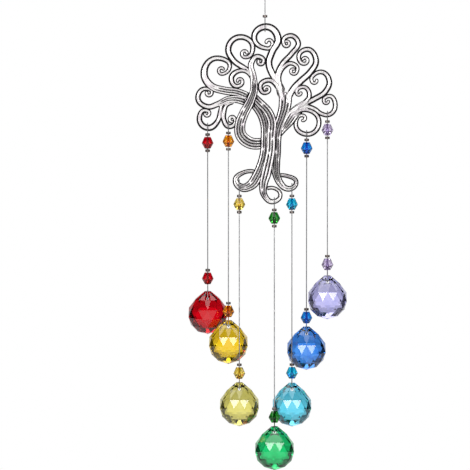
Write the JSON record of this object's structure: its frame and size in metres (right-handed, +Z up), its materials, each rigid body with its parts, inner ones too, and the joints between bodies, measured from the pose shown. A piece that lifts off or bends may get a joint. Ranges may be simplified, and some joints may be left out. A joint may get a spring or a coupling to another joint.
{
  "type": "crystal suncatcher",
  "caption": "Hanging suncatcher: a cast silver tree of scrolls from which faceted glass balls in rainbow colours hang on beaded wires.",
  "frame": {"origin": "top of the hanging ring's opening, where the hook that holds the suncatcher bears", "axes": "+Z up along the hanging wire, +X to the right seen from the front, -Y towards the viewer at the tree's front"},
  "size_m": [0.0818, 0.0438, 0.2566],
  "materials": {
    "antique_silver": "cast silver metal, polished on the ridges, with black patina in the grooves",
    "steel_wire": "plain drawn wire",
    "crimp_metal": "dark plated metal",
    "red_ball_glass": "clear deep red glass, polished facets",
    "red_bead_glass": "clear deep red glass, polished facets",
    "orange_ball_glass": "clear amber glass, polished facets",
    "orange_bead_glass": "clear orange glass, polished facets",
    "yellow_ball_glass": "clear pale lemon yellow glass, polished facets",
    "yellow_bead_glass": "clear amber glass, polished facets",
    "green_ball_glass": "clear emerald green glass, polished facets",
    "green_bead_glass": "clear dark green glass, polished facets",
    "sky_ball_glass": "clear aqua blue glass, polished facets",
    "sky_bead_glass": "clear deep aqua glass, polished facets",
    "blue_ball_glass": "clear cobalt blue glass, polished facets",
    "blue_bead_glass": "clear cobalt blue glass, polished facets",
    "violet_ball_glass": "clear pale lavender glass, polished facets",
    "violet_bead_glass": "clear violet glass, polished facets"
  },
  "bodies": {
    "root": {"hanging_ring": "crimp_metal", "hanging_wire": "steel_wire", "crimp_at_ring": "crimp_metal", "crimp_at_crown": "crimp_metal", "tree": "antique_silver", "red_wire": "steel_wire", "red_crimp_1": "crimp_metal", "red_crimp_2": "crimp_metal", "red_crimp_3": "crimp_metal", "red_bead_upper": "red_bead_glass", "red_bead_lower": "red_bead_glass", "red_ball": "red_ball_glass", "orange_wire": "steel_wire", "orange_crimp_1": "crimp_metal", "orange_crimp_2": "crimp_metal", "orange_crimp_3": "crimp_metal", "orange_bead_upper": "orange_bead_glass", "orange_bead_lower": "orange_bead_glass", "orange_ball": "orange_ball_glass", "yellow_wire": "steel_wire", "yellow_crimp_1": "crimp_metal", "yellow_crimp_2": "crimp_metal", "yellow_crimp_3": "crimp_metal", "yellow_bead_upper": "yellow_bead_glass", "yellow_bead_lower": "yellow_bead_glass", "yellow_ball": "yellow_ball_glass", "green_wire": "steel_wire", "green_crimp_1": "crimp_metal", "green_crimp_2": "crimp_metal", "green_crimp_3": "crimp_metal", "green_bead_upper": "green_bead_glass", "green_bead_lower": "green_bead_glass", "green_ball": "green_ball_glass", "sky_wire": "steel_wire", "sky_crimp_1": "crimp_metal", "sky_crimp_2": "crimp_metal", "sky_crimp_3": "crimp_metal", "sky_bead_upper": "sky_bead_glass", "sky_bead_lower": "sky_bead_glass", "sky_ball": "sky_ball_glass", "blue_wire": "steel_wire", "blue_crimp_1": "crimp_metal", "blue_crimp_2": "crimp_metal", "blue_crimp_3": "crimp_metal", "blue_bead_upper": "blue_bead_glass", "blue_bead_lower": "blue_bead_glass", "blue_ball": "blue_ball_glass", "violet_wire": "steel_wire", "violet_crimp_1": "crimp_metal", "violet_crimp_2": "crimp_metal", "violet_crimp_3": "crimp_metal", "violet_bead_upper": "violet_bead_glass", "violet_bead_lower": "violet_bead_glass", "violet_ball": "violet_ball_glass"}
  },
  "joints": []
}
